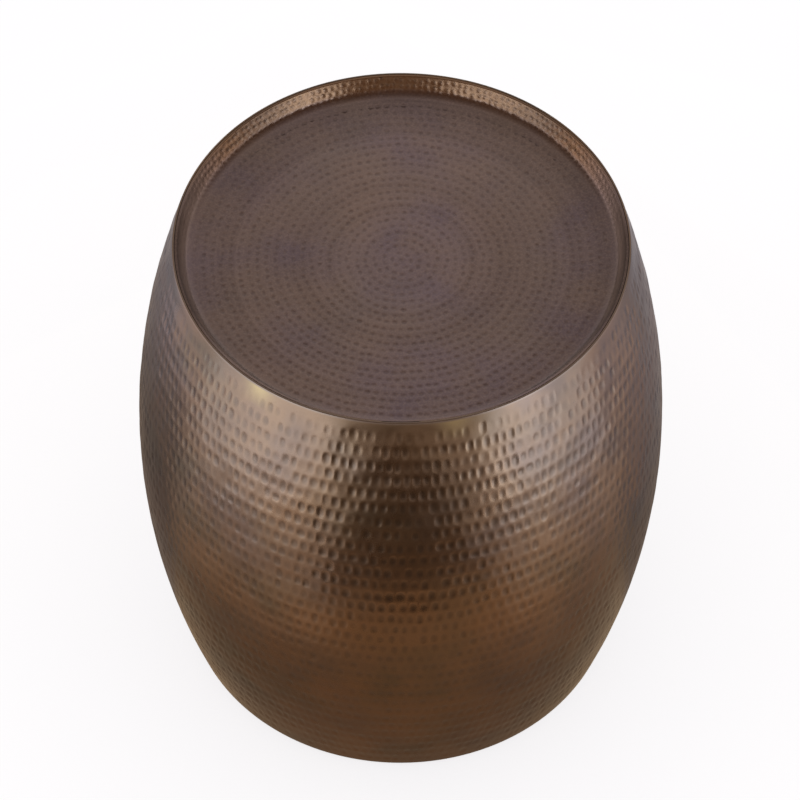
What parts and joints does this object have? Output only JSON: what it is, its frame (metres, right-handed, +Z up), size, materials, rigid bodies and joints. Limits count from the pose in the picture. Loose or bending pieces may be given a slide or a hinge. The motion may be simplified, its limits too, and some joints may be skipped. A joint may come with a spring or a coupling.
{
  "type": "drum side table",
  "caption": "Barrel-shaped drum side table of hammered bronze-finish sheet with a sunken round tray top, an open hollow underside and plastic floor glides.",
  "frame": {"origin": "on the drum's axis, on the floor plane under the glides", "axes": "+Z up along the drum's axis, -Y toward the front of the table as it is seen in the picture"},
  "size_m": [0.4099, 0.41, 0.443],
  "materials": {
    "hammered_bronze": "hammered, dark antique bronze patina under satin lacquer",
    "bracket_steel": "mill, dull",
    "hoop_steel": "mill, dull",
    "zinc_fasteners": "zinc plated",
    "glide_plastic": "matte black"
  },
  "bodies": {
    "root": {"barrel_shell": "hammered_bronze", "top_tray": "hammered_bronze", "base_ring": "hoop_steel", "tray_studs": "zinc_fasteners", "tray_washers": "zinc_fasteners", "tray_nuts": "zinc_fasteners", "glide_screws": "zinc_fasteners", "glide_nuts": "zinc_fasteners", "seat_bracket_front": "bracket_steel", "floor_glide_front": "glide_plastic", "seat_bracket_right": "bracket_steel", "floor_glide_right": "glide_plastic", "seat_bracket_back": "bracket_steel", "floor_glide_back": "glide_plastic", "seat_bracket_left": "bracket_steel", "floor_glide_left": "glide_plastic"}
  },
  "joints": []
}
